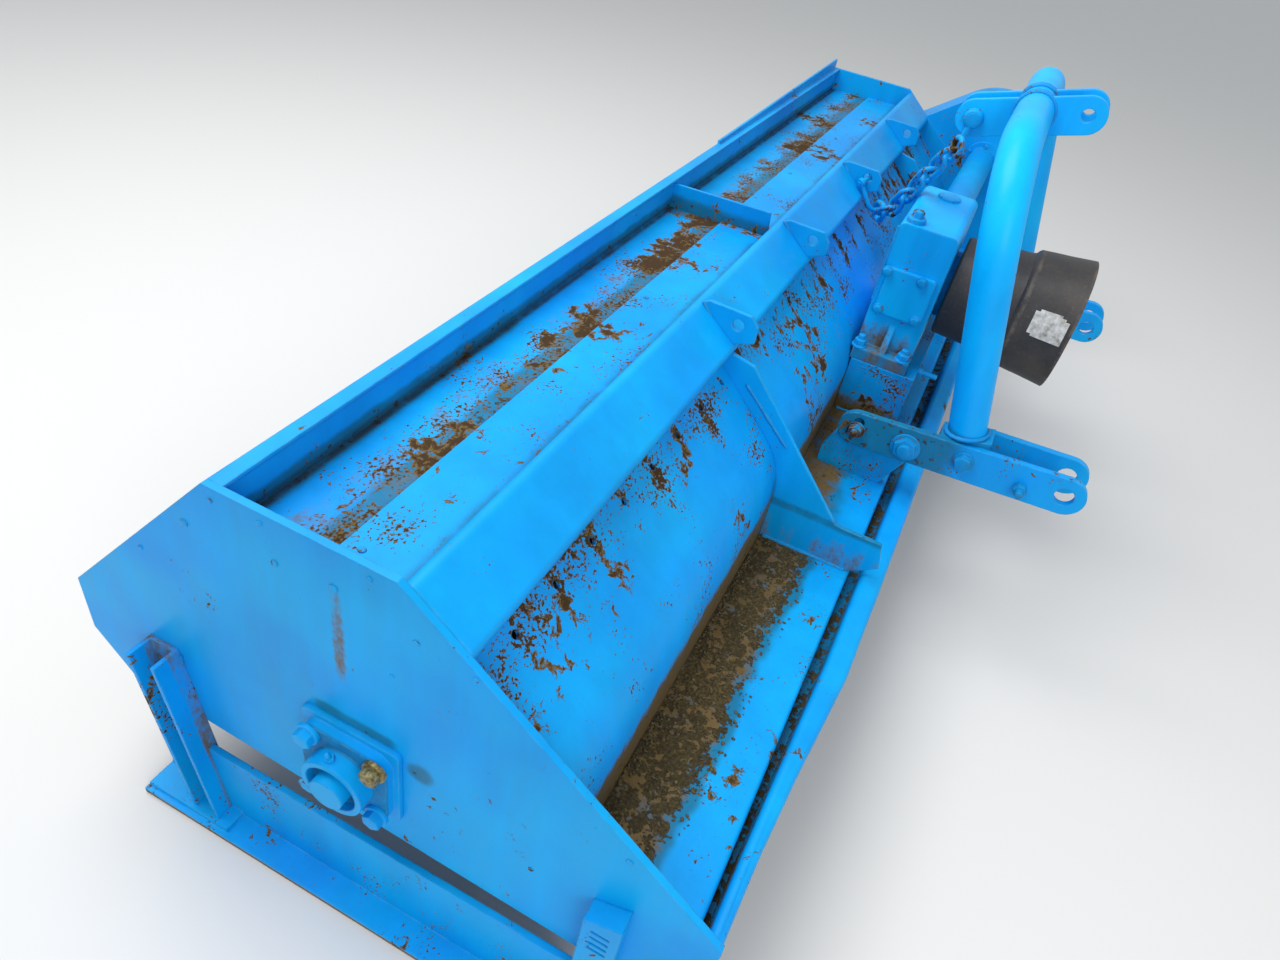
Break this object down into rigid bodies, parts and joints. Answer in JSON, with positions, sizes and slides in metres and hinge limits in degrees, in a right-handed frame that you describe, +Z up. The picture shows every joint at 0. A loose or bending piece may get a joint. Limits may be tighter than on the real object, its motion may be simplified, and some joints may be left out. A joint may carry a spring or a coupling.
{
  "type": "tractor mulcher",
  "caption": "Three-point-hitch flail mulcher: steel hood over a hammer rotor, skids, offset belt drive, gearbox with bell guard, leaning hitch arch and check chain.",
  "frame": {"origin": "centre of the footprint at ground level, under the skids", "axes": "+X from the near end plate to the belt drive, +Y rearward, -Y towards the tractor, +Z up"},
  "size_m": [2.808, 1.303, 1.018],
  "materials": {
    "blue_paint": "thick gloss repaint, rust freckles and lichen in the hollows",
    "gearbox_paint": "brushed repaint over a casting",
    "bearing_paint": "repaint over a casting",
    "chain_paint": "repaint, worn where the links touch",
    "rotor_steel": "worn paint and bare steel",
    "hammer_steel": "bare worn forging, surface rust",
    "shaft_steel": "greased machined steel",
    "guard_plastic": "satin, dusty"
  },
  "bodies": {
    "machine": {"end_plate_near": "blue_paint", "end_plate_far": "blue_paint", "hood_beam": "blue_paint", "hood_sheet": "blue_paint", "trough_rear_sheet": "blue_paint", "trough_front_sheet": "blue_paint", "rear_flange": "blue_paint", "rear_apron": "blue_paint", "front_ledge": "blue_paint", "front_lip": "blue_paint", "beam_ears": "blue_paint", "front_ribs": "blue_paint", "trough_divider": "blue_paint", "bearing_near": "bearing_paint", "bearing_far": "bearing_paint", "skid_near": "blue_paint", "skid_far": "blue_paint", "skid_post_near": "blue_paint", "skid_post_far": "blue_paint", "skid_adjuster_near": "blue_paint", "skid_adjuster_far": "blue_paint", "gearbox_housing": "gearbox_paint", "gearbox_cover": "gearbox_paint", "gearbox_mount": "blue_paint", "cross_tube": "blue_paint", "belt_guard_back": "blue_paint", "belt_guard_cover": "blue_paint", "pto_guard": "guard_plastic", "hitch_lugs": "blue_paint", "stop_bolts": "blue_paint", "chain_shackle": "blue_paint"},
    "rotor": {"rotor_tube": "rotor_steel", "rotor_lugs": "rotor_steel", "flails": "hammer_steel"},
    "input_shaft": {"pto_shaft": "shaft_steel"},
    "headstock": {"lower_arm_near": "blue_paint", "lower_arm_far": "blue_paint", "arm_pins": "blue_paint", "arch_tube": "blue_paint", "top_link_plates": "blue_paint", "chain_eye_pin": "blue_paint", "check_chain": "chain_paint"}
  },
  "joints": [
    {"name": "rotor_spin", "type": "hinge", "parent": "machine", "child": "rotor", "pos_m": [-0.046, 0.1825, 0.324], "axis": [1, 0, 0], "continuous": true},
    {"name": "input_spin", "type": "hinge", "parent": "machine", "child": "input_shaft", "pos_m": [0.199, -0.3435, 0.56], "axis": [0, 1, 0], "continuous": true},
    {"name": "headstock_lean", "type": "hinge", "parent": "machine", "child": "headstock", "pos_m": [0.199, -0.3035, 0.395], "axis": [-1, 0, 0], "range_deg": [0, 8], "deforming": ["check_chain"]}
  ],
  "couplings": [
    {"joint": "input_spin", "follows": "rotor_spin", "ratio": 0.5}
  ]
}
